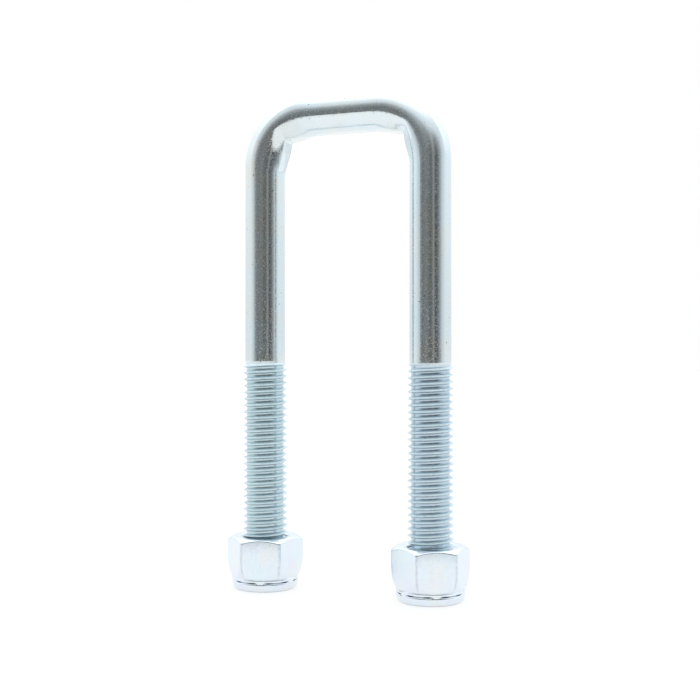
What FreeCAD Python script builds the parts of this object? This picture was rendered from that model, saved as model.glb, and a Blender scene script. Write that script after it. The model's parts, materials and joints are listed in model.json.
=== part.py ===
# Square-bend U-bolt, M12, with two prevailing-torque (nylon insert) hexagon lock nuts.
# Millimetres, +Z up. The origin is midway between the two legs, on the plane the nuts stand on.
import math
import os

import FreeCAD
import Part
import Sketcher
from FreeCAD import Vector

doc = FreeCAD.newDocument("u_bolt")
sheet = doc.addObject("Spreadsheet::Sheet", "size")

# Every measured length, in millimetres, and every angle, in degrees.
SIZES = {
    # bent rod
    "leg_spacing": 46.7,
    "shank_radius": 5.35,
    "crossbar_height": 126.3,
    "outer_bend_radius": 18.7,
    "inner_bend_centreline": 5.5,
    "rod_end_height": 4.7,
    "rod_end_bevel": 1.1,
    # rolled thread, M12 x 1.75, right hand
    "thread_pitch": 1.75,
    "thread_crest_radius": 5.95,
    "thread_root_radius": 4.95,
    "thread_crest_flat": 0.22,
    "thread_top_height": 61.2,
    "thread_runout": 0.7,
    # metal pushed into the inside of each bend by the forming die
    "left_upset_depth": 1.8,
    "left_upset_length": 8.5,
    "right_upset_depth": 1.2,
    "right_upset_length": 6.5,
    "upset_drop": 1.0,
    "upset_reach": 8.0,
    "die_flat_half_width": 2.2,
    "die_bevel": 2.1,
    # lock nut, 18 mm across flats
    "across_flats": 18.0,
    "nut_height": 14.0,
    "hex_base": 2.7,
    "face_radius": 8.6,
    "corner_bevel_angle": 30.0,
    # the corners shrink in three steps down to the collar: radius and height above the groove
    "low_taper_radius": 9.8,
    "low_taper_height": 2.1,
    "mid_taper_radius": 10.15,
    "mid_taper_height": 4.3,
    "high_taper_radius": 10.5,
    "high_taper_height": 7.5,
    "countersink_radius": 6.4,
    "nut_bore_radius": 5.2,
    "nut_root_radius": 6.1,
    "thread_play": 0.13,
    "left_nut_turn": 16.9,
    "right_nut_turn": 27.4,
    # collar that holds the insert
    "collar_top_radius": 8.95,
    "collar_lip_radius": 8.0,
    "collar_bend_height": 1.25,
    "groove_radius": 8.75,
    "lip_hole_radius": 6.55,
    "lip_thickness": 0.7,
    "pocket_radius": 7.3,
    "pocket_top": 3.9,
    # nylon insert
    "insert_clearance": 0.06,
    "insert_bore_radius": 6.2,
    "insert_bevel": 0.35,
}

for row, (name, value) in enumerate(SIZES.items(), start=1):
    sheet.set(f"A{row}", name)
    sheet.set(f"B{row}", str(value))
    sheet.setAlias(f"B{row}", name)
doc.recompute()


def new_body(label):
    body = doc.addObject("PartDesign::Body", label)
    body.Label = label
    return body


def new_sketch(body, name, plane, offset=None):
    """A sketch on one of the body's own planes, moved by expressions in offset."""
    origin = next(f for f in body.Origin.OriginFeatures if f.Role == plane)
    sketch = body.newObject("Sketcher::SketchObject", name)
    sketch.AttachmentSupport = [(origin, "")]
    sketch.MapMode = "FlatFace"
    for axis, text in (offset or {}).items():
        sketch.setExpression(f"AttachmentOffset.Base.{axis}", text)
    return sketch


def evaluate(text):
    """The value of a sheet expression, used as a sketch's starting shape."""
    return float(sheet.evalExpression(text))


def pin_point(sketch, item, end, x_text, y_text):
    """Hold one point of a sketch at two expressions."""
    for kind, text, axis in (("DistanceX", x_text, -2), ("DistanceY", y_text, -1)):
        if text == "0":
            sketch.addConstraint(Sketcher.Constraint("PointOnObject", item, end, axis))
            continue
        at = sketch.addConstraint(
            Sketcher.Constraint(kind, -1, 1, item, end, evaluate(text))
        )
        sketch.setExpression(f"Constraints[{at}]", text)


def draw_polygon(sketch, corners):
    """A closed outline with a pair of expressions for each corner."""
    points = [Vector(evaluate(x), evaluate(y), 0) for x, y in corners]
    count = len(points)
    first = sketch.GeometryCount
    for i in range(count):
        sketch.addGeometry(Part.LineSegment(points[i], points[(i + 1) % count]))
    for i in range(count):
        after = first + (i + 1) % count
        sketch.addConstraint(Sketcher.Constraint("Coincident", first + i, 2, after, 1))
    for i, (x, y) in enumerate(corners):
        pin_point(sketch, first + i, 1, x, y)


def revolve(body, name, sketch, groove=False):
    kind = "PartDesign::Groove" if groove else "PartDesign::Revolution"
    feature = body.newObject(kind, name)
    feature.Profile = sketch
    feature.ReferenceAxis = (sketch, ["V_Axis"])
    feature.Angle = 360.0
    return feature


def cut_thread(body, name, sketch, height):
    """Cut a right-hand thread groove upward from its profile, around the sketch's own vertical axis."""
    helix = body.newObject("PartDesign::SubtractiveHelix", name)
    helix.Profile = sketch
    helix.ReferenceAxis = (sketch, ["V_Axis"])
    helix.Mode = 0
    helix.LeftHanded = False
    helix.setExpression("Pitch", "size.thread_pitch")
    helix.setExpression("Height", height)
    return helix


# The thread groove of the rod starts this far below the rod's end, at the XZ plane of its leg.
ROD_GROOVE_START = "size.rod_end_height - size.thread_pitch"
FLANK = "tan(30 deg)"


def make_rod():
    body = new_body("u_bolt_rod")
    half = "size.leg_spacing / 2"

    # centreline: up one leg, over the crossbar, down the other, bent almost sharp on the inside
    path = new_sketch(body, "rod_path", "XZ_Plane")
    x, top, bend, foot = (
        evaluate(half),
        evaluate("size.crossbar_height"),
        evaluate("size.inner_bend_centreline"),
        evaluate("size.thread_top_height"),
    )
    path.addGeometry(Part.LineSegment(Vector(-x, foot, 0), Vector(-x, top - bend, 0)))
    left_circle = Part.Circle(Vector(-x + bend, top - bend, 0), Vector(0, 0, 1), bend)
    path.addGeometry(Part.ArcOfCircle(left_circle, math.pi / 2, math.pi))
    path.addGeometry(Part.LineSegment(Vector(-x + bend, top, 0), Vector(x - bend, top, 0)))
    right_circle = Part.Circle(Vector(x - bend, top - bend, 0), Vector(0, 0, 1), bend)
    path.addGeometry(Part.ArcOfCircle(right_circle, 0, math.pi / 2))
    path.addGeometry(Part.LineSegment(Vector(x, top - bend, 0), Vector(x, foot, 0)))
    for first, first_end, second, second_end in (
        (0, 2, 1, 2),
        (1, 1, 2, 1),
        (2, 2, 3, 2),
        (3, 1, 4, 1),
    ):
        joint = Sketcher.Constraint("Coincident", first, first_end, second, second_end)
        path.addConstraint(joint)
    pin_point(path, 0, 1, f"-{half}", "size.thread_top_height")
    pin_point(path, 0, 2, f"-{half}", "size.crossbar_height - size.inner_bend_centreline")
    pin_point(path, 2, 1, f"size.inner_bend_centreline - {half}", "size.crossbar_height")
    pin_point(path, 2, 2, f"{half} - size.inner_bend_centreline", "size.crossbar_height")
    pin_point(path, 4, 1, half, "size.crossbar_height - size.inner_bend_centreline")
    pin_point(path, 4, 2, half, "size.thread_top_height")
    for arc in (1, 3):
        at = path.addConstraint(Sketcher.Constraint("Radius", arc, bend))
        path.setExpression(f"Constraints[{at}]", "size.inner_bend_centreline")

    section = new_sketch(body, "rod_section", "XY_Plane", {"z": "size.thread_top_height"})
    section.addGeometry(Part.Circle(Vector(-x, 0, 0), Vector(0, 0, 1), evaluate("size.shank_radius")))
    pin_point(section, 0, 3, f"-{half}", "0")
    at = section.addConstraint(Sketcher.Constraint("Radius", 0, evaluate("size.shank_radius")))
    section.setExpression(f"Constraints[{at}]", "size.shank_radius")

    bar = body.newObject("PartDesign::AdditivePipe", "bent_bar")
    bar.Profile = section
    bar.Spine = (path, [])
    doc.recompute()

    # the outside of each bend stays a wide round arc, so the sharp outer corner is turned away
    centre_x = f"({half} + size.shank_radius - size.outer_bend_radius)"
    centre_z = "(size.crossbar_height + size.shank_radius - size.outer_bend_radius)"
    arm = "(size.outer_bend_radius - size.shank_radius)"
    for side, sign in (("left", -1), ("right", 1)):
        cutter = new_sketch(
            body,
            f"{side}_outer_arc_profile",
            "XY_Plane",
            {"x": f"{sign} * {centre_x}", "z": centre_z},
        )
        reach, radius = evaluate(arm), evaluate("size.shank_radius")
        far, wide = reach + 3 * radius, 1.4 * radius
        cutter.addGeometry(
            Part.ArcOfCircle(
                Part.Circle(Vector(sign * reach, 0, 0), Vector(0, 0, 1), radius),
                -math.pi / 2 if sign > 0 else math.pi / 2,
                math.pi / 2 if sign > 0 else 3 * math.pi / 2,
            )
        )
        corners = [
            (reach, -radius),
            (reach, -wide),
            (far, -wide),
            (far, wide),
            (reach, wide),
            (reach, radius),
        ]
        for (x0, y0), (x1, y1) in zip(corners, corners[1:]):
            cutter.addGeometry(
                Part.LineSegment(Vector(sign * x0, y0, 0), Vector(sign * x1, y1, 0))
            )
        for k in range(1, 5):
            cutter.addConstraint(Sketcher.Constraint("Coincident", k, 2, k + 1, 1))
        texts = [
            (arm, "-1 * size.shank_radius"),
            (arm, "-1.4 * size.shank_radius"),
            (f"({arm} + 3 * size.shank_radius)", "-1.4 * size.shank_radius"),
            (f"({arm} + 3 * size.shank_radius)", "1.4 * size.shank_radius"),
            (arm, "1.4 * size.shank_radius"),
        ]
        for k, (x_text, y_text) in enumerate(texts, start=1):
            pin_point(cutter, k, 1, f"{sign} * {x_text}", y_text)
        low, high = (1, 2) if sign > 0 else (2, 1)
        pin_point(cutter, 0, 3, f"{sign} * {arm}", "0")
        cutter.addConstraint(Sketcher.Constraint("Coincident", 0, low, 1, 1))
        cutter.addConstraint(Sketcher.Constraint("Coincident", 0, high, 5, 2))
        cutter.addConstraint(Sketcher.Constraint("Vertical", 0, low, 0, high))
        turn = body.newObject("PartDesign::Groove", f"{side}_outer_arc")
        turn.Profile = cutter
        turn.ReferenceAxis = (cutter, ["V_Axis"])
        turn.Angle = 90.0
        turn.Reversed = sign > 0
        doc.recompute()

    # metal the forming die pushed into the inside of each bend, flat where the die pressed
    face = f"({half} - size.shank_radius)"

    def sink(reach):
        """How far the round bar's surface lies back from its crown, this far from the middle."""
        return f"(size.shank_radius - sqrt(size.shank_radius ^ 2 - ({reach}) ^ 2))"

    flat_sink = sink("size.die_flat_half_width")
    outer_sink = sink("size.die_flat_half_width + size.die_bevel")
    under = "(size.crossbar_height - size.shank_radius)"
    for side, sign in (("left", "-1"), ("right", "1")):
        depth, length = f"size.{side}_upset_depth", f"size.{side}_upset_length"
        stations = []
        for number, (reach, inset, corner_inset) in enumerate(
            (
                ("-(size.die_flat_half_width + size.die_bevel)", outer_sink, "size.die_bevel"),
                ("-size.die_flat_half_width", flat_sink, "0"),
                ("size.die_flat_half_width", flat_sink, "0"),
                ("size.die_flat_half_width + size.die_bevel", outer_sink, "size.die_bevel"),
            )
        ):
            # the XZ plane of a body looks along -Y
            sketch = new_sketch(
                body, f"{side}_upset_{number}", "XZ_Plane", {"z": f"-1 * ({reach})"}
            )
            corners = [
                (f"{sign} * ({face} + {inset})", f"{under} - {length}"),
                (
                    f"{sign} * ({face} - {depth} + {corner_inset})",
                    f"{under} - size.upset_drop + {corner_inset}",
                ),
                (f"{sign} * ({face} - size.upset_reach)", f"{under} + {inset}"),
                (f"{sign} * ({face} - size.upset_reach)", f"{under} + 3.2"),
                (f"{sign} * ({face} + 3)", f"{under} + 3.2"),
                (f"{sign} * ({face} + 3.2)", f"{under} - {length}"),
            ]
            draw_polygon(sketch, corners)
            stations.append(sketch)
        fill = body.newObject("PartDesign::AdditiveLoft", f"{side}_bend_upset")
        fill.Profile = stations[0]
        fill.Sections = stations[1:]
        fill.Ruled = True
        doc.recompute()

    # threaded length of each leg, wider than the shank because the thread is rolled
    for side, sign in (("left", "-1"), ("right", "1")):
        axis = {"x": f"{sign} * {half}"}
        blank = new_sketch(body, f"{side}_thread_blank", "XZ_Plane", axis)
        draw_polygon(
            blank,
            [
                ("0", "size.rod_end_height"),
                ("size.thread_crest_radius - size.rod_end_bevel", "size.rod_end_height"),
                ("size.thread_crest_radius", "size.rod_end_height + size.rod_end_bevel"),
                ("size.thread_crest_radius", "size.thread_top_height - size.thread_runout"),
                ("size.shank_radius", "size.thread_top_height"),
                ("0", "size.thread_top_height"),
            ],
        )
        revolve(body, f"{side}_leg_end", blank)
        doc.recompute()

        groove = new_sketch(body, f"{side}_thread_profile", "XZ_Plane", axis)
        half_root = (
            "((size.thread_pitch - size.thread_crest_flat) / 2"
            f" - (size.thread_crest_radius - size.thread_root_radius) * {FLANK})"
        )
        outer = "(size.thread_crest_radius + 0.15)"
        half_open = f"({half_root} + ({outer} - size.thread_root_radius) * {FLANK})"
        draw_polygon(
            groove,
            [
                ("size.thread_root_radius", f"{ROD_GROOVE_START} - {half_root}"),
                (outer, f"{ROD_GROOVE_START} - {half_open}"),
                (outer, f"{ROD_GROOVE_START} + {half_open}"),
                ("size.thread_root_radius", f"{ROD_GROOVE_START} + {half_root}"),
            ],
        )
        cut_thread(
            body,
            f"{side}_thread",
            groove,
            f"size.thread_top_height - size.thread_runout - ({ROD_GROOVE_START})",
        )
        doc.recompute()
    return body


def make_nut(side, sign):
    body = new_body(f"{side}_nut_body")
    body.setExpression("Placement.Base.x", f"{sign} * size.leg_spacing / 2")

    # hexagon, standing at the angle this nut was left at
    outline = new_sketch(body, f"{side}_hexagon", "XY_Plane", {"z": "size.hex_base"})
    reach = "(size.across_flats / 2 / cos(30 deg))"
    corners = []
    for k in range(6):
        turn = f"((size.{side}_nut_turn + {60 * k}) * 1 deg)"
        corners.append((f"{reach} * cos({turn})", f"{reach} * sin({turn})"))
    draw_polygon(outline, corners)
    block = body.newObject("PartDesign::Pad", f"{side}_hexagon_block")
    block.Profile = outline
    block.setExpression("Length", "size.nut_height - size.hex_base")
    doc.recompute()

    # bearing face bevelled to a circle, lower end drawn in towards the collar
    bevels = {
        "top": [
            ("size.face_radius", "size.nut_height"),
            (
                "size.across_flats",
                "size.nut_height - (size.across_flats - size.face_radius)"
                " * tan(size.corner_bevel_angle * 1 deg)",
            ),
            ("size.across_flats", "size.nut_height + 1"),
            ("size.face_radius", "size.nut_height + 1"),
        ],
        "base": [
            ("size.groove_radius", "size.hex_base - 1"),
            ("size.groove_radius", "size.hex_base + 0.15"),
            ("size.low_taper_radius", "size.hex_base + size.low_taper_height"),
            ("size.mid_taper_radius", "size.hex_base + size.mid_taper_height"),
            ("size.high_taper_radius", "size.hex_base + size.high_taper_height"),
            ("size.across_flats", "size.hex_base + size.high_taper_height"),
            ("size.across_flats", "size.hex_base - 1"),
        ],
    }
    for end, corners in bevels.items():
        cut = new_sketch(body, f"{side}_{end}_bevel_profile", "XZ_Plane")
        draw_polygon(cut, corners)
        revolve(body, f"{side}_{end}_bevel", cut, groove=True)
        doc.recompute()

    # collar, turned in at its lower lip over the insert
    collar = new_sketch(body, f"{side}_collar_profile", "XZ_Plane")
    draw_polygon(
        collar,
        [
            ("size.lip_hole_radius", "0"),
            ("size.collar_lip_radius", "0"),
            ("size.collar_lip_radius + 0.42", "0.32"),
            ("size.collar_top_radius - 0.15", "size.collar_bend_height"),
            ("size.collar_top_radius", "size.collar_bend_height + 0.6"),
            ("size.collar_top_radius", "size.hex_base - 0.35"),
            ("size.groove_radius", "size.hex_base - 0.15"),
            ("size.groove_radius", "size.hex_base + 1"),
            ("size.lip_hole_radius", "size.hex_base + 1"),
        ],
    )
    revolve(body, f"{side}_collar", collar)
    doc.recompute()

    # bore, countersink at the bearing face, pocket for the insert
    bore = new_sketch(body, f"{side}_bore_profile", "XZ_Plane")
    draw_polygon(
        bore,
        [
            ("0", "-1"),
            ("size.lip_hole_radius", "-1"),
            ("size.lip_hole_radius", "size.lip_thickness"),
            ("size.pocket_radius", "size.lip_thickness"),
            ("size.pocket_radius", "size.pocket_top"),
            ("size.nut_bore_radius + 1", "size.pocket_top"),
            ("size.nut_bore_radius", "size.pocket_top + 1"),
            (
                "size.nut_bore_radius",
                "size.nut_height - (size.countersink_radius - size.nut_bore_radius)",
            ),
            ("size.countersink_radius", "size.nut_height"),
            ("size.countersink_radius", "size.nut_height + 1"),
            ("0", "size.nut_height + 1"),
        ],
    )
    revolve(body, f"{side}_bore", bore, groove=True)
    doc.recompute()

    # internal thread, in step with the leg's thread
    groove = new_sketch(body, f"{side}_nut_thread_profile", "XZ_Plane")
    start = f"({ROD_GROOVE_START} + size.thread_pitch / 2)"
    inner = "(size.nut_bore_radius - 0.15)"

    def half_width(radius):
        return (
            f"(size.thread_crest_flat / 2 + size.thread_play"
            f" + (size.thread_crest_radius - {radius}) * {FLANK})"
        )

    draw_polygon(
        groove,
        [
            (inner, f"{start} - {half_width(inner)}"),
            (inner, f"{start} + {half_width(inner)}"),
            ("size.nut_root_radius", f"{start} + {half_width('size.nut_root_radius')}"),
            ("size.nut_root_radius", f"{start} - {half_width('size.nut_root_radius')}"),
        ],
    )
    cut_thread(body, f"{side}_nut_thread", groove, "size.nut_height + size.thread_pitch")
    doc.recompute()
    return body


def make_insert(side, sign):
    body = new_body(f"{side}_nylon_insert")
    body.setExpression("Placement.Base.x", f"{sign} * size.leg_spacing / 2")
    low = "(size.lip_thickness + size.insert_clearance)"
    high = "(size.pocket_top - size.insert_clearance)"
    rim = "(size.pocket_radius - size.insert_clearance)"
    ring = new_sketch(body, f"{side}_ring_profile", "XZ_Plane")
    draw_polygon(
        ring,
        [
            ("size.insert_bore_radius", f"{low} + size.insert_bevel"),
            ("size.insert_bore_radius + size.insert_bevel", low),
            (rim, low),
            (rim, high),
            ("size.insert_bore_radius + size.insert_bevel", high),
            ("size.insert_bore_radius", f"{high} - size.insert_bevel"),
        ],
    )
    revolve(body, f"{side}_ring", ring)
    doc.recompute()
    return body


pieces = [make_rod()]
for side, sign in (("left", "-1"), ("right", "1")):
    pieces.append(make_nut(side, sign))
    pieces.append(make_insert(side, sign))
doc.recompute()

failed = [item.Name for item in doc.Objects if {"Invalid", "Error"} & set(item.State)]
if failed:
    raise RuntimeError(f"did not build: {failed}")

os.makedirs("parts", exist_ok=True)
for piece in pieces:
    shape = piece.Shape
    if shape.isNull() or not shape.isValid() or len(shape.Solids) != 1:
        raise RuntimeError(f"{piece.Label} is not one valid solid")
    shape.exportStep(f"parts/{piece.Label}.step")
    box = shape.BoundBox
    corners = (box.XMin, box.YMin, box.ZMin, box.XMax, box.YMax, box.ZMax)
    print(piece.Label, round(shape.Volume, 1), [round(v, 3) for v in corners])
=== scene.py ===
import json
import math

import bmesh
import bpy
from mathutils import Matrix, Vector


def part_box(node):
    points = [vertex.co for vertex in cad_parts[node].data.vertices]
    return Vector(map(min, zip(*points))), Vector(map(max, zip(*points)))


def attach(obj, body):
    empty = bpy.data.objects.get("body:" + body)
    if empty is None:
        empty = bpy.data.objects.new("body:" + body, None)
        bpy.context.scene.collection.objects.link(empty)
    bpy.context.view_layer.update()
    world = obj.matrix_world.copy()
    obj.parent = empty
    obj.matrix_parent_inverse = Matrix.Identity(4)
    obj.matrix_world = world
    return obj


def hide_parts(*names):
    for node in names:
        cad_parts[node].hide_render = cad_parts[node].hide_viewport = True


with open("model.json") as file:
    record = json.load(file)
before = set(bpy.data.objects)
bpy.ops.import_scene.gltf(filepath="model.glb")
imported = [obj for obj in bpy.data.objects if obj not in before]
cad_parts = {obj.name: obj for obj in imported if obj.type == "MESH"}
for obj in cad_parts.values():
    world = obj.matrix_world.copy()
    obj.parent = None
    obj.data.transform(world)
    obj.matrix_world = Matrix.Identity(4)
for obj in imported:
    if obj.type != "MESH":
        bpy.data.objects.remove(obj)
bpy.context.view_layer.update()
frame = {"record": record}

# A square-bend U-bolt of zinc-plated bar, standing on its two nylon-insert lock nuts.
mm = 0.001
mounts = {m["name"]: m for m in frame["record"]["mounts"]}
legX = mounts["legs"]["dims"]["spacing_x_mm"] * mm / 2
crestRadius = mounts["legs"]["dims"]["stud_r_mm"] * mm
rodLow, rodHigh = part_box("u_bolt_rod")
nutTop = mounts["left_nut_bearing_face"]["pos_m"][2]
rimSlack = 0.002 * mm           # an open edge this near a level belongs to it
weldGap = 0.004 * mm


def hexColour(text):
    parts = [int(text[i:i + 2], 16) / 255 for i in (1, 3, 5)]
    linear = [c / 12.92 if c <= 0.04045 else ((c + 0.055) / 1.055) ** 2.4 for c in parts]
    return (*linear, 1.0)


def addNode(tree, kind, inputs=None, **settings):
    node = tree.nodes.new(kind)
    for name, value in settings.items():
        setattr(node, name, value)
    for name, value in (inputs or {}).items():
        if isinstance(value, bpy.types.Node):
            value = next(output for output in value.outputs if output.enabled)
        if isinstance(value, bpy.types.NodeSocket):
            tree.links.new(value, node.inputs[name])
        else:
            node.inputs[name].default_value = value
    return node


def smoothStep(low, high, value):
    t = min(1.0, max(0.0, (value - low) / (high - low)))
    return t * t * (3 - 2 * t)


def finishPiece(name, bm, material, body, replaced):
    bmesh.ops.recalc_face_normals(bm, faces=bm.faces[:])
    mesh = bpy.data.meshes.new(name)
    bm.to_mesh(mesh)
    bm.free()
    mesh.shade_smooth()
    piece = bpy.data.objects.new(name, mesh)
    bpy.context.scene.collection.objects.link(piece)
    mesh.materials.append(material)
    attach(piece, body)
    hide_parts(replaced)
    return piece


def asMesh(bm):
    mesh = bpy.data.meshes.new("half_made")
    bm.to_mesh(mesh)
    bm.free()
    return mesh


def addMesh(bm, mesh, x):
    known = set(bm.verts)
    bm.from_mesh(mesh)
    bpy.data.meshes.remove(mesh)
    bmesh.ops.translate(bm, verts=[v for v in bm.verts if v not in known], vec=(x, 0, 0))


def openLoop(bm, height):
    return [
        e for e in bm.edges
        if e.is_boundary and all(abs(v.co.z - height) < rimSlack for v in e.verts)
    ]


def rimVerts(bm, height):
    verts = {v for e in openLoop(bm, height) for v in e.verts}
    return sorted(verts, key=lambda v: math.atan2(v.co.y, v.co.x))


# Walks round two rims that differ in count and joins them with triangles.
def joinRims(bm, one, other):
    turns = [[math.atan2(v.co.y, v.co.x) for v in rim] for rim in (one, other)]
    turns = [rim + [rim[0] + math.tau, math.inf] for rim in turns]
    a = b = 0
    while a < len(one) or b < len(other):
        first, second = one[a % len(one)], other[b % len(other)]
        if turns[0][a + 1] <= turns[1][b + 1]:
            a += 1
            bm.faces.new((first, one[a % len(one)], second))
        else:
            b += 1
            bm.faces.new((first, other[b % len(other)], second))


def cutLevel(bm, height, keepBelow):
    bmesh.ops.bisect_plane(
        bm, geom=bm.verts[:] + bm.edges[:] + bm.faces[:], dist=1e-8,
        plane_co=(0, 0, height), plane_no=(0, 0, 1),
        clear_outer=keepBelow, clear_inner=not keepBelow,
    )


# Sweeps one pitch of a thread's outline round the axis and stacks the turns.
def screwSurface(profile, pitch, start, turns, steps):
    bm = bmesh.new()
    chain = [bm.verts.new((radius * mm, 0, start + phase * pitch)) for phase, radius in profile]
    edges = [bm.edges.new(pair) for pair in zip(chain, chain[1:])]
    bmesh.ops.spin(
        bm, geom=chain + edges, cent=(0, 0, 0), axis=(0, 0, 1), dvec=(0, 0, pitch / steps),
        angle=math.tau, steps=steps, use_merge=False, use_duplicate=False,
    )
    oneTurn = bm.verts[:] + bm.edges[:] + bm.faces[:]
    for turn in range(1, turns):
        copy = bmesh.ops.duplicate(bm, geom=oneTurn)["geom"]
        moved = [g for g in copy if isinstance(g, bmesh.types.BMVert)]
        bmesh.ops.translate(bm, verts=moved, vec=(0, 0, pitch * turn))
    bmesh.ops.remove_doubles(bm, verts=bm.verts[:], dist=weldGap)
    return bm


def reshapeRadius(bm, newRadius):
    for vert in bm.verts:
        radius = math.hypot(vert.co.x, vert.co.y)
        factor = newRadius(radius, vert.co.z) / radius
        vert.co.x *= factor
        vert.co.y *= factor


rodShape = {
    "pitch": 1.75 * mm,
    "shank": 5.35 * mm,
    "outerBend": 18.7 * mm,     # outside arc of each bend
    "endBevel": 1.1 * mm,
    "endInset": 0.25 * mm,
    "threadTop": 61.2 * mm,     # where the rolled thread has faded into the shank
    "fadeFrom": 2.2 * mm,       # below the thread's top, where it starts to fade and has faded
    "fadeTo": 0.15 * mm,
    "spareTurns": 4,            # turns beyond the leg, cut off again
    "threadSteps": 60,
    "bendSteps": 30,
    "legRings": 8,
    "nearBend": 2 * mm,         # short stretch below each bend with closer rings
    "nearRings": 5,
    "barRings": 24,
    "lastGap": 4 * mm,          # between the plain bar and the right leg's thread, bridged last
    "dieFlat": 2.2 * mm,        # half width of the flat pressed inside each bend
    "dieBevel": 2.1 * mm,
    "dieReach": 1.6,            # how quickly the die's flat comes in towards the corner
    "underFlat": 0.22 * mm,     # the die also flattens the underside a little
    "underFrom": 6 * mm,        # short of each bend, where that starts to go and is gone
    "underTo": 0.5 * mm,
}
# Metal pushed into each inside corner: its depth and drop, and how far it runs down and along.
bendUpset = {
    "left": {"depth": 1.8 * mm, "drop": 1.0 * mm, "down": 1.3 * mm, "along": 1.0 * mm},
    "right": {"depth": 1.2 * mm, "drop": 1.0 * mm, "down": 0.6 * mm, "along": 1.0 * mm},
}
threadShift = {"left": 0.5 * mm, "right": -0.45 * mm}   # the two legs were rolled one at a time
rodThread = [                   # one pitch, root to root: part of the pitch, radius in mm
    (0.0, 4.95), (0.195, 4.95), (0.215, 4.962), (0.235, 5.01), (0.25, 5.08), (0.34, 5.42),
    (0.43, 5.76), (0.465, 5.885), (0.482, 5.935), (0.5, 5.95), (0.518, 5.935), (0.535, 5.885),
    (0.57, 5.76), (0.66, 5.42), (0.75, 5.08), (0.765, 5.01), (0.785, 4.962), (0.805, 4.95),
    (1.0, 4.95),
]


def threadedLeg(side):
    s = rodShape
    low, top = rodLow.z, s["threadTop"]
    turns = math.ceil((top - low) / s["pitch"]) + s["spareTurns"]
    start = low - s["spareTurns"] / 2 * s["pitch"] + threadShift[side]
    bm = screwSurface(rodThread, s["pitch"], start, turns, s["threadSteps"])
    endRadius = crestRadius - s["endBevel"]

    def rolled(radius, z):
        fade = smoothStep(top - s["fadeFrom"], top - s["fadeTo"], z)
        radius = radius * (1 - fade) + s["shank"] * fade
        return min(radius, endRadius + max(0, z - low))

    reshapeRadius(bm, rolled)
    cutLevel(bm, low, False)
    cutLevel(bm, top, True)
    end = bmesh.ops.edgeloop_fill(bm, edges=openLoop(bm, low))["faces"]
    bmesh.ops.inset_region(bm, faces=end, thickness=s["endInset"])
    return asMesh(bm)


def extend(bm, loop, vector, parts):
    for _ in range(parts):
        made = bmesh.ops.extrude_edge_only(bm, edges=loop)["geom"]
        moved = [g for g in made if isinstance(g, bmesh.types.BMVert)]
        bmesh.ops.translate(bm, verts=moved, vec=Vector(vector) / parts)
        loop = [g for g in made if isinstance(g, bmesh.types.BMEdge)]
    return loop


def bendLoop(bm, loop, centre, steps):
    verts = list({v for e in loop for v in e.verts})
    made = bmesh.ops.spin(
        bm, geom=verts + loop, cent=centre, axis=(0, 1, 0), angle=math.pi / 2,
        steps=steps, use_merge=False, use_duplicate=False,
    )["geom_last"]
    return [g for g in made if isinstance(g, bmesh.types.BMEdge)]


# Moves the inner half of a bend out to the upset corner and flattens it as the die did.
# u is how far in from the bar's middle line a point lies, v how far to its side.
def pressBend(bm, centre, side, upset):
    s = rodShape
    arm = s["outerBend"] - s["shank"]
    inner = arm - s["shank"]
    corner = Vector((inner - upset["depth"], inner - upset["drop"]))
    legEnd = Vector((inner, -upset["down"]))
    barEnd = Vector((-upset["along"], inner))
    for vert in bm.verts:
        a = side * (vert.co.x - centre.x)       # out towards the leg
        b = vert.co.z - centre.z                # up towards the crossbar
        if a < -upset["along"] or b < -upset["down"] or side * vert.co.x < 0:
            continue
        if b < 0:
            u, direction = arm - a, Vector((1, 0))
            share = (b + upset["down"]) / (corner.y + upset["down"])
            target = inner - upset["depth"] * share
        elif a < 0:
            u, direction = arm - b, Vector((0, 1))
            share = (a + upset["along"]) / (corner.x + upset["along"])
            target = inner - upset["drop"] * share
        else:
            direction = Vector((a, b)).normalized()
            u = arm - math.hypot(a, b)
            onLeg = direction.x * corner.y < direction.y * corner.x
            first, second = (corner, barEnd) if onLeg else (legEnd, corner)
            run = second - first
            target = first.cross(run) / direction.cross(run)
            mark = first + run * ((direction * target - first).dot(run) / run.length_squared)
            whole = (corner - first).length or (corner - second).length
            share = 1 - min(1, (mark - corner).length / whole)
        if u <= 0:
            continue
        v = min(abs(vert.co.y), s["shank"])
        roundShare = math.sqrt(max(0.0, 1 - (v / s["shank"]) ** 2))
        edge = s["dieFlat"] + s["dieBevel"]
        edgeShare = math.sqrt(1 - (edge / s["shank"]) ** 2)
        if v < s["dieFlat"]:
            flatShare = 1.0
        elif v < edge:
            flatShare = 1 - (1 - edgeShare) * (v - s["dieFlat"]) / s["dieBevel"]
        else:
            flatShare = roundShare
        press = min(1.0, s["dieReach"] * share)
        newU = (arm - target) * (roundShare + (flatShare - roundShare) * press)
        if b < 0:
            vert.co.x = centre.x + side * (arm - newU)
        elif a < 0:
            vert.co.z = centre.z + arm - newU
        else:
            vert.co.x = centre.x + side * direction.x * (arm - newU)
            vert.co.z = centre.z + direction.y * (arm - newU)


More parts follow.
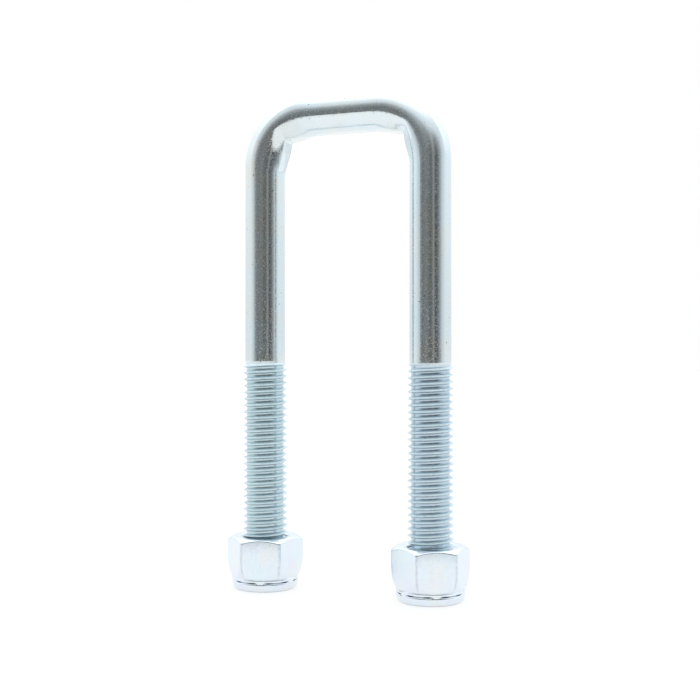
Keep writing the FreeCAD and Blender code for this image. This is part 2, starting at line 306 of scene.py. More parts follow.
def makeRod(material):
    s = rodShape
    bm = bmesh.new()
    addMesh(bm, threadedLeg("left"), -legX)
    loop = openLoop(bm, s["threadTop"])
    arm = s["outerBend"] - s["shank"]
    bendZ = rodHigh.z - s["outerBend"]
    leftCentre = Vector((arm - legX, 0, bendZ))
    rightCentre = Vector((legX - arm, 0, bendZ))
    loop = extend(bm, loop, (0, 0, bendZ - s["nearBend"] - s["threadTop"]), s["legRings"])
    loop = extend(bm, loop, (0, 0, s["nearBend"]), s["nearRings"])
    loop = bendLoop(bm, loop, leftCentre, s["bendSteps"])
    loop = extend(bm, loop, (rightCentre.x - leftCentre.x, 0, 0), s["barRings"])
    loop = bendLoop(bm, loop, rightCentre, s["bendSteps"])
    loop = extend(bm, loop, (0, 0, -s["nearBend"]), s["nearRings"])
    drop = s["lastGap"] + s["threadTop"] - (bendZ - s["nearBend"])
    extend(bm, loop, (0, 0, drop), s["legRings"])
    addMesh(bm, threadedLeg("right"), legX)
    bmesh.ops.bridge_loops(bm, edges=[e for e in bm.edges if e.is_boundary])
    pressBend(bm, leftCentre, -1, bendUpset["left"])
    pressBend(bm, rightCentre, 1, bendUpset["right"])
    fadeFrom, fadeTo = rightCentre.x - s["underFrom"], rightCentre.x - s["underTo"]
    for vert in bm.verts:
        if abs(vert.co.x) < rightCentre.x and vert.co.z > bendZ:
            lift = s["underFlat"] * (1 - smoothStep(fadeFrom, fadeTo, abs(vert.co.x)))
            vert.co.z = max(vert.co.z, rodHigh.z - 2 * s["shank"] + lift)

    # Way along the bar from the crossbar's middle, for the drawing lines that follow the bends.
    way = bm.verts.layers.float_vector.new("rodWay")
    middle = rightCentre.x + arm * math.pi / 2 + bendZ
    for vert in bm.verts:
        side = -1 if vert.co.x < 0 else 1
        a, b = side * vert.co.x - rightCentre.x, vert.co.z - bendZ
        if b < 0:
            outward, along = a - arm, middle - vert.co.z
        elif a < 0:
            outward, along = b - arm, side * vert.co.x
        else:
            outward = math.hypot(a, b) - arm
            along = rightCentre.x + arm * math.atan2(a, b)
        vert[way] = (outward, vert.co.y, side * along)
    piece = finishPiece("rod_zinc_plated", bm, material, "bolt", "u_bolt_rod")
    print("rod:", len(piece.data.polygons), "faces")


nutShape = {
    "acrossFlats": 18.0 * mm,
    "edgeRound": 1.05 * mm,     # upright corners, rounded by cold forming
    "faceRadius": 8.6 * mm,     # bearing face
    "bevelSlope": math.tan(math.radians(30)),
    "softening": 0.26 * mm,     # length rounded off each side of a bevel edge
    "cornerBlend": 0.07 * mm,   # how softly the flats run into the low taper
    "softShare": 0.45,          # most of the bevel's width that this may take
    "faceEase": (0.1 * mm, 0.05 * mm),          # rounding round the bearing face, out and down
    "footDraft": 0.05,          # the flats lean in over their last stretch
    "footTop": 4.2 * mm,
    "footBelow": 0.7 * mm,      # the lean would be whole this far below the taper's lower end
    "taperMiddle": 9,           # in mm, midway between the flats and the taper where they meet
    "seamShut": (4, 13),        # degrees from a flat's middle over which the collar's seam opens
    "seamThin": (14, 25),       # and over which it closes up again towards the corner
    "seamThinning": 0.55,
    "cornerWidth": 1.9,         # degrees that the wear runs to each side of an upright corner
    "cornerFade": (8.9 * mm, 9.9 * mm),         # radii where the wear starts and is full
    "lipShadeHeight": 0.3 * mm,      # painted shade: the lip under the collar is painted grey as well, for the shadow it reflects from the floor
    "columns": 360,
    "pitch": 1.75 * mm,
    "threadSteps": 48,
    "boreTurns": 9,
    "boreFloor": 0.2 * mm,      # the first root of the bore lies above this
    "boreTop": 13.75 * mm,
    "lowMouth": 6.2 * mm,       # radii of the bore's bevelled ends
    "highMouth": 6.15 * mm,
}
nutTurns = {"left": 16.9, "right": 27.4}        # degrees that each hexagon stands turned
nutThread = [                   # one pitch, root to root, as for the rod
    (0.0, 6.1), (0.09, 6.1), (0.16, 5.99), (0.36, 5.36), (0.43, 5.21), (0.5, 5.2), (0.57, 5.21),
    (0.64, 5.36), (0.84, 5.99), (0.91, 6.1), (1.0, 6.1),
]
collarProfile = [               # from the pocket, round the lip and up the collar, in mm
    (6.3, 3.9), (7.3, 3.9), (7.3, 0.7), (6.55, 0.7), (6.55, 0.1), (6.65, 0.0), (7.3, 0.0),
    (7.86, 0.0), (8.07, 0.07), (8.29, 0.24), (8.46, 0.5), (8.61, 0.82), (8.76, 1.2), (8.87, 1.6),
    (8.92, 1.88), (8.91, 2.06), (8.86, 2.18),
]
# Seam where the collar was turned in: radius where open, radius where shut, height, and how much painted
# shade darkens it there.
gapProfile = [
    (8.74, 8.86, 2.29, 0.0), (8.5, 8.87, 2.35, 0.3), (8.25, 8.88, 2.41, 0.75),
    (8.15, 8.88, 2.47, 0.75), (8.25, 8.89, 2.53, 0.75), (8.5, 8.9, 2.58, 0.45),
    (8.77, 8.92, 2.64, 0.0),
]
ringProfile = [(8.88, 2.76), (8.94, 2.92), (8.95, 3.1), (8.92, 3.24), (8.87, 3.32), (8.82, 3.37)]
lowTaper = [                    # radius and height of the drawn-in lower end, in mm
    (8.86, 3.42), (8.95, 3.5), (9.05, 3.65), (9.16, 3.85), (9.3, 4.1), (9.44, 4.4), (9.56, 4.7),
    (9.69, 5.1), (9.82, 5.6), (9.94, 6.2), (10.07, 7.0), (10.26, 8.3), (10.45, 9.7),
]
faceProfile = [(8.5, 14.0), (7.6, 14.0), (6.5, 14.0), (6.38, 13.96), (6.21, 13.81)]


# Radius of the hexagon at an angle that is measured from one of its corners.
def hexReach(angle):
    half, bend = nutShape["acrossFlats"] / 2, nutShape["edgeRound"]
    away = math.radians(abs((math.degrees(angle) + 30) % 60 - 30))      # from the nearest corner
    hub = (half - bend) / math.cos(math.radians(30))
    if math.radians(30) - away < math.atan2(hub * 0.5, half):
        return half / math.cos(math.radians(30) - away)
    return hub * math.cos(away) + math.sqrt(bend ** 2 - (hub * math.sin(away)) ** 2)


# One upright line of the nut's outside; the third value is how much painted shade darkens the collar's
# seam there.
def columnPoints(angle):
    s = nutShape
    reach, blend, middle = hexReach(angle), s["cornerBlend"], s["taperMiddle"]
    fromFlat = abs(math.degrees(angle) % 60 - 30)
    thinned = 1 - s["seamThinning"] * smoothStep(*s["seamThin"], fromFlat)
    opened = smoothStep(*s["seamShut"], fromFlat) * thinned
    points = [
        Vector(((shut + (opening - shut) * opened) * mm, height * mm, seamDarkening * opened))
        for opening, shut, height, seamDarkening in gapProfile
    ]
    points += [Vector((radius * mm, height * mm, 0)) for radius, height in ringProfile]
    foot = lowTaper[0][1] * mm - s["footBelow"]
    for radius, height in lowTaper:
        draft = 1 - s["footDraft"] * (1 - smoothStep(foot, s["footTop"], height * mm))
        flat = math.exp(-(reach * draft - middle * mm) / blend)
        taper = math.exp(-(radius - middle) * mm / blend)
        points.append(Vector((middle * mm - blend * math.log(flat + taper), height * mm, 0)))
    out, down = s["faceEase"]
    high = Vector((reach, nutTop - (reach - s["faceRadius"]) * s["bevelSlope"], 0))
    inward = Vector((-math.cos(math.radians(30)), math.sin(math.radians(30)), 0))
    length = min(s["softening"], s["softShare"] * (reach - s["faceRadius"] + down))
    start, end = high - Vector((0, length, 0)), high + inward * length
    for t in (0.0, 0.25, 0.5, 0.75, 1.0):
        points.append(start * (1 - t) ** 2 + high * 2 * t * (1 - t) + end * t * t)
    points.append(Vector((s["faceRadius"] + out, nutTop - down, 0)))
    return points


def makeNut(side, material):
    s = nutShape
    turn = math.radians(nutTurns[side])
    bm = bmesh.new()
    station = bm.verts.layers.int.new("station")
    # wear along the upright corners, and painted shade on the collar's lower lip
    corner = bm.verts.layers.float.new("cornerWearAndLipShade")
    seamShade = bm.verts.layers.float.new("seamPaintedShade")
    hexCount = len(columnPoints(0))
    collar = [Vector((*p, 0)) * mm for p in collarProfile]
    outline = collar + columnPoints(0) + [Vector((*p, 0)) * mm for p in faceProfile]
    chain = []
    for i, point in enumerate(outline):
        vert = bm.verts.new((point.x * math.cos(turn), point.x * math.sin(turn), point.y))
        place = i - len(collarProfile)
        vert[station] = place + 1 if 0 <= place < hexCount else 0
        chain.append(vert)
    edges = [bm.edges.new(pair) for pair in zip(chain, chain[1:])]
    bmesh.ops.spin(
        bm, geom=chain + edges, cent=(0, 0, 0), axis=(0, 0, 1), angle=math.tau,
        steps=s["columns"], use_merge=True, use_duplicate=False,
    )
    for vert in bm.verts:
        if vert[station]:
            angle = math.atan2(vert.co.y, vert.co.x)
            point = columnPoints(angle - turn)[vert[station] - 1]
            vert.co = (point.x * math.cos(angle), point.x * math.sin(angle), point.y)
            # painted shade for the seam, kept as an attribute
            vert[seamShade] = point.z
            away = abs((math.degrees(angle - turn) + 30) % 60 - 30)
            wear = math.exp(-(away / s["cornerWidth"]) ** 2)
            vert[corner] = wear * smoothStep(*s["cornerFade"], point.x)
        # painted shade: the lip's bottom rim is greyed for the shadow it reflects under the nut
        elif vert.co.z < s["lipShadeHeight"]:
            vert[corner] = 1.0

    # The roots of the bore lie over the crests of the leg.
    rodCrest = rodLow.z - s["pitch"] / 2 + threadShift[side]
    firstRoot = s["boreFloor"] + (rodCrest - s["boreFloor"]) % s["pitch"]
    bore = screwSurface(nutThread, s["pitch"], firstRoot, s["boreTurns"], s["threadSteps"])
    lowZ, highZ = collarProfile[0][1] * mm, s["boreTop"]

    def tapped(radius, z):
        return max(radius, s["lowMouth"] - (z - lowZ), s["highMouth"] - (highZ - z))

    cutLevel(bore, lowZ, False)
    cutLevel(bore, highZ, True)
    reshapeRadius(bore, tapped)
    outerRims = rimVerts(bm, lowZ), rimVerts(bm, faceProfile[-1][1] * mm)
    addMesh(bm, asMesh(bore), 0)
    for outer, height in zip(outerRims, (lowZ, highZ)):
        joinRims(bm, [v for v in rimVerts(bm, height) if v not in outer], outer)
    bmesh.ops.translate(bm, verts=bm.verts[:], vec=(-legX if side == "left" else legX, 0, 0))
    piece = finishPiece(
        f"{side}_nut_zinc_plated", bm, material, f"{side}_nut", f"{side}_nut_body",
    )
    print(side, "nut:", len(piece.data.polygons), "faces")


insertShape = {
    "columns": 96,
    "outline": [                # radius and height in mm, all round the ring's section
        (6.2, 1.25), (6.27, 0.98), (6.5, 0.78), (6.9, 0.76), (7.14, 0.78), (7.24, 0.9), (7.24, 3.7),
        (7.14, 3.82), (6.55, 3.84), (6.3, 3.7), (6.2, 3.45),
    ],
}


def makeInsert(side, material):
    bm = bmesh.new()
    chain = [bm.verts.new((r * mm, 0, z * mm)) for r, z in insertShape["outline"]]
    edges = [bm.edges.new(pair) for pair in zip(chain, chain[1:] + chain[:1])]
    bmesh.ops.spin(
        bm, geom=chain + edges, cent=(0, 0, 0), axis=(0, 0, 1), angle=math.tau,
        steps=insertShape["columns"], use_merge=True, use_duplicate=False,
    )
    bmesh.ops.translate(bm, verts=bm.verts[:], vec=(-legX if side == "left" else legX, 0, 0))
    piece = finishPiece(
        f"{side}_insert_nylon", bm, material, f"{side}_insert", f"{side}_nylon_insert",
    )
    print(side, "insert:", len(piece.data.polygons), "faces")


def newMaterial(name):
    material = bpy.data.materials.new(name)
    material.use_nodes = True
    tree = material.node_tree
    tree.nodes.clear()
    shader = addNode(tree, "ShaderNodeBsdfPrincipled")
    addNode(tree, "ShaderNodeOutputMaterial", {"Surface": shader.outputs["BSDF"]})
    return material, tree, shader


# Bright zinc electroplated on cold-drawn bar: a clean mirror softened by fine crystal grain, faint lines
# along the bar, a few pits, and cool to faintly straw colour where the clear passivation film varies.
# The rolled thread is duller and takes a bluer film, most of all on the right leg; its crests are
# painted lighter, a painted highlight over the scuffing there.
rodFinish = {
    "cool": "#e0eaee",
    "straw": "#e9e6dc",
    "smoke": "#bcb3ab",         # thin brown haze towards the bends and along the crossbar
    "pit": "#84888a",
    "leftThread": "#bfd2d8",
    "rightThread": "#bccdd8",
    "crestScuffAndHighlight": "#e9f3f6",         # painted highlight: lighter colour on the thread's ridges, with torn, scratched crests that catch light from all round
    "roughness": 0.075,
    "speckle": 0.22,            # extra roughness of the duller grains
    "rootRoughness": 0.2,
    "crestRoughness": 0.75,
    "grainSize": 0.36 * mm,     # true grain is under 0.05 mm, drawn coarser so that it shows
    "grainDepth": 0.006 * mm,
    "drawLine": 0.5 * mm,       # drawing lines, also coarser than life
    "drawStretch": 0.035,
    "lineDepth": 0.5,           # against the grain's
    "blotch": 9 * mm,
    "hazeSize": 0.45,           # how many hazes to a blotch
    "pitSize": 0.8 * mm,
    "strawMost": 0.7,
    "smokeMost": 0.5,
    "smokeFrom": 16 * mm,       # below the crossbar's top, where the haze starts and is full
    "smokeFull": 4 * mm,
    "filmEdge": 1.5 * mm,       # below the thread's top, where its bluer film is full
    "crestFrom": 0.9 * mm,      # below the crests, where the scuffing and painted highlight start and are full
    "crestFull": 0.35 * mm,
    "strawStep": (0.44, 0.7),   # where in each pattern the effect starts and is full
    "hazeStep": (0.52, 0.68),
    "pitStep": (0.75, 0.79),
    "grainStep": (0.4, 0.68),
}


def rodMaterial():
    f = rodFinish
    material, tree, shader = newMaterial("bright_zinc_plate_on_drawn_bar")
    where = addNode(tree, "ShaderNodeTexCoord").outputs["Object"]
    axes = addNode(tree, "ShaderNodeSeparateXYZ", {"Vector": where})
    way = addNode(tree, "ShaderNodeAttribute", attribute_name="rodWay").outputs["Vector"]
    stretched = addNode(tree, "ShaderNodeMapping", {
        "Vector": way, "Scale": (1.0, 1.0, f["drawStretch"]),
    })
    lines = addNode(tree, "ShaderNodeTexNoise", {"Vector": stretched, "Scale": 1 / f["drawLine"]})
    grain = addNode(tree, "ShaderNodeTexNoise", {
        "Vector": where, "Scale": 1 / f["grainSize"], "Detail": 3.0,
    })
    blotch = addNode(tree, "ShaderNodeTexNoise", {
        "Vector": where, "Scale": 1 / f["blotch"], "Detail": 3.0,
    })
    haze = addNode(tree, "ShaderNodeTexNoise", {
        "Vector": where, "Scale": f["hazeSize"] / f["blotch"], "Detail": 4.0,
    })
    dots = addNode(tree, "ShaderNodeTexNoise", {
        "Vector": where, "Scale": 1 / f["pitSize"], "Detail": 1.0,
    })
    pits = addNode(tree, "ShaderNodeMapRange", {
        "Value": dots, "From Min": f["pitStep"][0], "From Max": f["pitStep"][1],
    })
    thread = addNode(tree, "ShaderNodeMapRange", {
        "Value": axes.outputs["Z"], "From Min": rodShape["threadTop"],
        "From Max": rodShape["threadTop"] - f["filmEdge"],
    })
    nearBend = addNode(tree, "ShaderNodeMapRange", {
        "Value": axes.outputs["Z"], "From Min": rodHigh.z - f["smokeFrom"],
        "From Max": rodHigh.z - f["smokeFull"], "To Max": f["smokeMost"],
    })
    straw = addNode(tree, "ShaderNodeMapRange", {
        "Value": blotch, "From Min": f["strawStep"][0], "From Max": f["strawStep"][1],
        "To Max": f["strawMost"],
    })
    haze = addNode(tree, "ShaderNodeMapRange", {
        "Value": haze, "From Min": f["hazeStep"][0], "From Max": f["hazeStep"][1],
    })
    smoke = addNode(tree, "ShaderNodeMath", {0: haze, 1: nearBend}, operation="MULTIPLY")
    toRight = addNode(tree, "ShaderNodeMapRange", {
        "Value": axes.outputs["X"], "From Min": -legX, "From Max": legX,
    })
    film = addNode(tree, "ShaderNodeMix", {
        "Factor": toRight, "A": hexColour(f["leftThread"]), "B": hexColour(f["rightThread"]),
    }, data_type="RGBA")
    across = addNode(tree, "ShaderNodeVectorMath", {0: way, 1: (1.0, 1.0, 0.0)}, operation="MULTIPLY")
    radius = addNode(
        tree, "ShaderNodeVectorMath", {0: across.outputs["Vector"]}, operation="LENGTH",
    ).outputs["Value"]
    # Painted highlight: the thread's ridges are painted lighter, together with their rougher, scuffed
    # crests.
    nearCrest = addNode(tree, "ShaderNodeMapRange", {
        "Value": radius, "From Min": crestRadius - f["crestFrom"],
        "From Max": crestRadius - f["crestFull"],
    })
    crestScuffAndHighlight = addNode(tree, "ShaderNodeMath", {0: nearCrest, 1: thread}, operation="MULTIPLY")
    colour = hexColour(f["cool"])
    for amount, over in (
        (straw, hexColour(f["straw"])), (smoke, hexColour(f["smoke"])), (thread, film),
        (crestScuffAndHighlight, hexColour(f["crestScuffAndHighlight"])), (pits, hexColour(f["pit"])),
    ):
        colour = addNode(
            tree, "ShaderNodeMix", {"Factor": amount, "A": colour, "B": over}, data_type="RGBA",
        )

    rough = addNode(tree, "ShaderNodeMapRange", {
        "Value": grain, "From Min": f["grainStep"][0], "From Max": f["grainStep"][1],
        "To Min": f["roughness"], "To Max": f["roughness"] + f["speckle"],
    })
    for amount, level in ((thread, f["rootRoughness"]), (crestScuffAndHighlight, f["crestRoughness"])):
        rough = addNode(tree, "ShaderNodeMix", {"Factor": amount, "A": rough, "B": level})
    relief = addNode(
        tree, "ShaderNodeMath", {0: lines, 1: f["lineDepth"], 2: grain}, operation="MULTIPLY_ADD",
    )
    relief = addNode(
        tree, "ShaderNodeMath", {0: pits, 1: -1.0, 2: relief}, operation="MULTIPLY_ADD",
    )
    bump = addNode(tree, "ShaderNodeBump", {
        "Height": relief, "Strength": 1.0, "Distance": f["grainDepth"],
    })
    tree.links.new(colour.outputs["Result"], shader.inputs["Base Color"])
    tree.links.new(rough.outputs["Result"], shader.inputs["Roughness"])
    tree.links.new(bump.outputs["Normal"], shader.inputs["Normal"])
    shader.inputs["Metallic"].default_value = 1.0
    return material


# Zinc plate with a thick blue passivation film on a cold-formed nut: satin, nearly white, with faint
# lavender, sky and straw clouds, worn greyer along the upright corners; painted shade greys the collar's
# lip and darkens its seam.
nutFinish = {
    "ground": "#e5eef6",
    "clouds": {                 # shift and strength of each tint
        "#e9e6f4": (0.0, 0.55), "#e0f0f7": (0.37, 0.7), "#f0f0e6": (0.81, 0.45),
    },
    # grey for the wear along the upright corners, and painted shade on the collar's lower lip
    "wearAndLipShadeGrey": "#bfc4cb",
    "seamShadeColour": "#3d4144",     # painted shade: dark grey for the shadow deep in the collar's seam
    "roughness": 0.2,
    "roughSpread": (-0.03, 0.06),
    "cloud": 7 * mm,
    "cloudStep": (0.45, 0.72),  # where in the pattern the tint starts and is full
    "grainStep": (0.3, 0.7),
    "wear": (0.3, 0.8),         # least and most of the grey along the corners and of the lip's painted shade
    "grainSize": 0.6 * mm,      # die marks and crystal grain, drawn coarser than life
    "grainDepth": 0.0016 * mm,
    "toolMark": 0.4 * mm,
    "markStretch": 0.12,
    "markDepth": 0.6,           # against the grain's
}


def nutMaterial():
    f = nutFinish
    material, tree, shader = newMaterial("blue_passivated_zinc_on_cold_formed_nut")
    where = addNode(tree, "ShaderNodeTexCoord").outputs["Object"]
    grain = addNode(tree, "ShaderNodeTexNoise", {
        "Vector": where, "Scale": 1 / f["grainSize"], "Detail": 2.0,
    })
    upright = addNode(tree, "ShaderNodeMapping", {
        "Vector": where, "Scale": (1.0, 1.0, f["markStretch"]),
    })
    marks = addNode(tree, "ShaderNodeTexNoise", {"Vector": upright, "Scale": 1 / f["toolMark"]})
    colour = hexColour(f["ground"])
    for tint, (shift, strength) in f["clouds"].items():
        moved = addNode(tree, "ShaderNodeMapping", {"Vector": where, "Location": (shift, 0, shift)})
        cloud = addNode(tree, "ShaderNodeTexNoise", {
            "Vector": moved, "Scale": 1 / f["cloud"], "Detail": 2.0,
        })
        amount = addNode(tree, "ShaderNodeMapRange", {
            "Value": cloud, "From Min": f["cloudStep"][0], "From Max": f["cloudStep"][1],
            "To Max": strength,
        })
        colour = addNode(tree, "ShaderNodeMix", {
            "Factor": amount, "A": colour, "B": hexColour(tint),
        }, data_type="RGBA")
    # Wear along the upright corners, and painted shade on the collar's lower lip.
    corner = addNode(tree, "ShaderNodeAttribute", attribute_name="cornerWearAndLipShade").outputs["Fac"]
    patchy = addNode(tree, "ShaderNodeMapRange", {
        "Value": grain, "From Min": f["grainStep"][0], "From Max": f["grainStep"][1],
        "To Min": f["wear"][0], "To Max": f["wear"][1],
    })
    wear = addNode(tree, "ShaderNodeMath", {0: corner, 1: patchy}, operation="MULTIPLY")
    # The seam's painted shade: darker colour where the groove between hex and collar lies in shadow.
    seamDarkening = addNode(tree, "ShaderNodeAttribute", attribute_name="seamPaintedShade").outputs["Fac"]
    for amount, over in ((wear, hexColour(f["wearAndLipShadeGrey"])), (seamDarkening, hexColour(f["seamShadeColour"]))):
        colour = addNode(
            tree, "ShaderNodeMix", {"Factor": amount, "A": colour, "B": over}, data_type="RGBA",
        )
    rough = addNode(tree, "ShaderNodeMapRange", {
        "Value": grain, "From Min": f["grainStep"][0], "From Max": f["grainStep"][1],
        "To Min": f["roughness"] + f["roughSpread"][0],
        "To Max": f["roughness"] + f["roughSpread"][1],
    })
    relief = addNode(
        tree, "ShaderNodeMath", {0: marks, 1: f["markDepth"], 2: grain}, operation="MULTIPLY_ADD",
    )
    bump = addNode(tree, "ShaderNodeBump", {
        "Height": relief, "Strength": 1.0, "Distance": f["grainDepth"],
    })
    tree.links.new(colour.outputs["Result"], shader.inputs["Base Color"])
    tree.links.new(rough.outputs["Result"], shader.inputs["Roughness"])
    tree.links.new(bump.outputs["Normal"], shader.inputs["Normal"])
    shader.inputs["Metallic"].default_value = 1.0
    return material


# Natural nylon 6, injection moulded: milky, a little translucent, soft sheen with faint flow clouds.
nylonFinish = {
    "milk": "#ebe8dd",
    "amber": "#dfd8c3",
    "roughness": 0.4,
    "roughSpread": (-0.06, 0.12),
    "cloud": 3 * mm,
    "cloudStep": (0.35, 0.7),
    "grainSize": 0.25 * mm,
    "grainDepth": 0.003 * mm,
    "ior": 1.53,
    "translucence": 0.25,
    "lightReach": (0.0012, 0.001, 0.0008),
}


def nylonMaterial():
    f = nylonFinish
    material, tree, shader = newMaterial("natural_moulded_nylon")
    where = addNode(tree, "ShaderNodeTexCoord").outputs["Object"]
    flow = addNode(tree, "ShaderNodeTexNoise", {"Vector": where, "Scale": 1 / f["cloud"]})
    grain = addNode(tree, "ShaderNodeTexNoise", {"Vector": where, "Scale": 1 / f["grainSize"]})
    amber = addNode(tree, "ShaderNodeMapRange", {
        "Value": flow, "From Min": f["cloudStep"][0], "From Max": f["cloudStep"][1],
    })
    colour = addNode(tree, "ShaderNodeMix", {
        "Factor": amber, "A": hexColour(f["milk"]), "B": hexColour(f["amber"]),
    }, data_type="RGBA")
    rough = addNode(tree, "ShaderNodeMapRange", {
        "Value": grain, "To Min": f["roughness"] + f["roughSpread"][0],
        "To Max": f["roughness"] + f["roughSpread"][1],
    })
    bump = addNode(tree, "ShaderNodeBump", {
        "Height": grain, "Strength": 1.0, "Distance": f["grainDepth"],
    })
    tree.links.new(colour.outputs["Result"], shader.inputs["Base Color"])
    tree.links.new(rough.outputs["Result"], shader.inputs["Roughness"])
    tree.links.new(bump.outputs["Normal"], shader.inputs["Normal"])
    shader.inputs["IOR"].default_value = f["ior"]
    shader.inputs["Subsurface Weight"].default_value = f["translucence"]
    shader.inputs["Subsurface Radius"].default_value = f["lightReach"]
    return material


rodZinc, nutZinc, nylon = rodMaterial(), nutMaterial(), nylonMaterial()
makeRod(rodZinc)
for side in ("left", "right"):
    makeNut(side, nutZinc)
    makeInsert(side, nylon)
print("materials and pieces done")


studio = {
    "sideLight": 0.95,
    "topLight": 1.7,
    "topFrom": 0.0,             # sine of the height where the top light starts and is full
    "topFull": 0.92,
    "sideColour": "#f1f7fb",
    "floorSize": 3.0,
    "floorWhite": "#7d7d7d",    # white acrylic, most of its light comes up through it
    "floorGlow": 0.77,
    "floorRoughness": 0.9,
    "floorGloss": 0.1,
    "flagRadius": 0.47,
    "flagHeight": 0.9,
    "flagFrom": -66.0,          # degrees from the front, towards the right leg
    "flagTo": 104.0,
    "flagSteps": 48,
    "flagCrown": 0.97,          # tone of the card's upper part
    "flagEdge": 1.5,            # how much brighter its top edge is, to end softly against the tent
    "edgeFrom": 0.55,
    "warmTint": (0.06, 0.16),   # green and blue taken out of the warmest tones
}
flagTones = [                   # degrees from the front, brightness, warmth
    (-66, 0.97, 0.0), (-48, 0.76, 0.0), (-41, 0.5, 0.0), (-34, 0.27, 0.1), (-20, 0.18, 0.2),
    (-6, 0.22, 0.4), (8, 0.2, 0.7), (16, 0.135, 0.6), (29, 0.14, 0.8), (34, 0.33, 1.0),
    (39, 0.31, 1.0), (44, 0.12, 0.3), (50, 0.08, 0.0), (57, 0.135, 0.0), (65, 0.24, 0.0),
    (73, 0.42, 0.0), (84, 0.76, 0.0), (104, 0.97, 0.0),
]
flagLift = [                    # metres up the flag, how far its tone has turned into the crown's
    (0.0, 0.0), (0.2, 0.02), (0.26, 0.12), (0.36, 0.33), (0.44, 0.78), (0.51, 1.0), (0.9, 1.0),
]


def stageMesh(name, bm, material):
    mesh = bpy.data.meshes.new(name)
    bm.to_mesh(mesh)
    bm.free()
    mesh.materials.append(material)
    thing = bpy.data.objects.new(name, mesh)
    bpy.context.scene.collection.objects.link(thing)
    return thing


def lightTent():
    world = bpy.data.worlds.new("light_tent")
    bpy.context.scene.world = world
    world.use_nodes = True
    tree = world.node_tree
    tree.nodes.clear()
    axes = addNode(tree, "ShaderNodeSeparateXYZ", {"Vector": addNode(tree, "ShaderNodeTexCoord")})
    strength = addNode(tree, "ShaderNodeMapRange", {
        "Value": axes.outputs["Z"], "From Min": studio["topFrom"], "From Max": studio["topFull"],
        "To Min": studio["sideLight"], "To Max": studio["topLight"],
    })
    tent = addNode(tree, "ShaderNodeBackground", {
        "Color": hexColour(studio["sideColour"]), "Strength": strength,
    })
    paper = addNode(tree, "ShaderNodeBackground", {
        "Color": hexColour("#ffffff"), "Strength": 1.0,
    })
    seen = addNode(tree, "ShaderNodeLightPath").outputs["Is Camera Ray"]
    both = addNode(tree, "ShaderNodeMixShader", {0: seen, 1: tent, 2: paper})
    addNode(tree, "ShaderNodeOutputWorld", {"Surface": both})


def makeFloor():
    bm = bmesh.new()
    bmesh.ops.create_grid(bm, x_segments=1, y_segments=1, size=studio["floorSize"])
    material, tree, shader = newMaterial("lit_white_acrylic")
    shader.inputs["Base Color"].default_value = hexColour(studio["floorWhite"])
    shader.inputs["Roughness"].default_value = studio["floorRoughness"]
    shader.inputs["Specular IOR Level"].default_value = studio["floorGloss"]
    shader.inputs["Emission Color"].default_value = hexColour("#ffffff")
    shader.inputs["Emission Strength"].default_value = studio["floorGlow"]
    stageMesh("floor", bm, material)


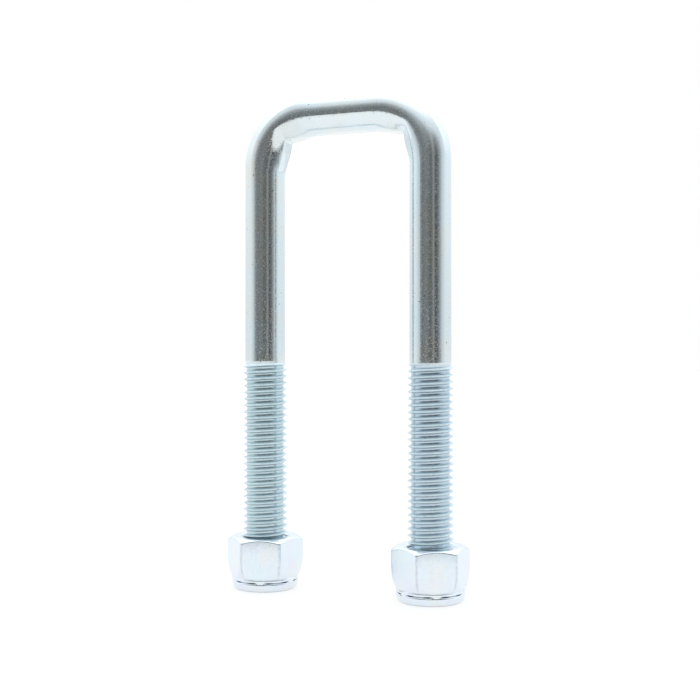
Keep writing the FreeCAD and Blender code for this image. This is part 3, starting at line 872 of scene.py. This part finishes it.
def flagMaterial():
    material, tree, shader = newMaterial("shaded_flag_card")
    tree.nodes.remove(shader)
    where = addNode(tree, "ShaderNodeTexCoord").outputs["Object"]
    axes = addNode(tree, "ShaderNodeSeparateXYZ", {"Vector": where})
    forward = addNode(tree, "ShaderNodeMath", {0: axes.outputs["Y"], 1: -1.0}, operation="MULTIPLY")
    turn = addNode(tree, "ShaderNodeMath", {0: axes.outputs["X"], 1: forward}, operation="ARCTAN2")
    around = addNode(tree, "ShaderNodeMapRange", {
        "Value": turn, "From Min": math.radians(studio["flagFrom"]),
        "From Max": math.radians(studio["flagTo"]),
    })
    upward = addNode(tree, "ShaderNodeMapRange", {
        "Value": axes.outputs["Z"], "From Max": studio["flagHeight"],
    })
    tint = hexColour(studio["sideColour"])
    lessGreen, lessBlue = studio["warmTint"]
    span = studio["flagTo"] - studio["flagFrom"]
    tones = [
        ((place - studio["flagFrom"]) / span,
         (tint[0] * tone, tint[1] * tone * (1 - lessGreen * warmth),
          tint[2] * tone * (1 - lessBlue * warmth), 1.0))
        for place, tone, warmth in flagTones
    ]
    lifts = [(z / studio["flagHeight"], (v, v, v, 1.0)) for z, v in flagLift]
    ramps = []
    for place, stops in ((around, tones), (upward, lifts)):
        ramp = addNode(tree, "ShaderNodeValToRGB", {"Fac": place})
        for _ in stops[2:]:
            ramp.color_ramp.elements.new(0.5)
        for element, (position, colour) in zip(ramp.color_ramp.elements, stops):
            element.position = position
            element.color = colour
        ramps.append(ramp)
    crown = [c * studio["flagCrown"] for c in tint[:3]] + [1.0]
    colour = addNode(
        tree, "ShaderNodeMix", {"Factor": ramps[1], "A": ramps[0], "B": crown}, data_type="RGBA",
    )
    strength = addNode(tree, "ShaderNodeMapRange", {
        "Value": axes.outputs["Z"], "From Min": studio["edgeFrom"], "From Max": studio["flagHeight"],
        "To Min": 1.0, "To Max": studio["flagEdge"],
    })
    glow = addNode(tree, "ShaderNodeEmission", {"Color": colour, "Strength": strength})
    tree.links.new(glow.outputs["Emission"], tree.nodes["Material Output"].inputs["Surface"])
    return material


def makeFlag():
    bm = bmesh.new()
    first = math.radians(studio["flagFrom"] - 90)
    away = studio["flagRadius"]
    foot = Vector((away * math.cos(first), away * math.sin(first), 1 * mm))
    post = [bm.verts.new(foot), bm.verts.new(foot + Vector((0, 0, studio["flagHeight"])))]
    edge = bm.edges.new(post)
    bmesh.ops.spin(
        bm, geom=post + [edge], cent=(0, 0, 0), axis=(0, 0, 1),
        angle=math.radians(studio["flagTo"] - studio["flagFrom"]), steps=studio["flagSteps"],
        use_merge=False, use_duplicate=False,
    )
    flag = stageMesh("flag_card", bm, flagMaterial())
    flag.visible_camera = flag.visible_diffuse = flag.visible_shadow = False


lightTent()
makeFloor()
makeFlag()

cameraAt = {
    "azimuth": 21.4, "x": 111.4 * mm, "y": -281.0 * mm, "z": 64 * mm, "lens": 59.1, "sensor": 36.0,
}
cameraData = bpy.data.cameras.new("camera")
cameraData.lens = cameraAt["lens"]
cameraData.sensor_width = cameraAt["sensor"]
camera = bpy.data.objects.new("camera", cameraData)
camera.location = (cameraAt["x"], cameraAt["y"], cameraAt["z"])
camera.rotation_euler = (math.pi / 2, 0, math.radians(cameraAt["azimuth"]))
bpy.context.scene.collection.objects.link(camera)
bpy.context.scene.camera = camera
bpy.context.scene.view_settings.view_transform = "Standard"
print("studio done")
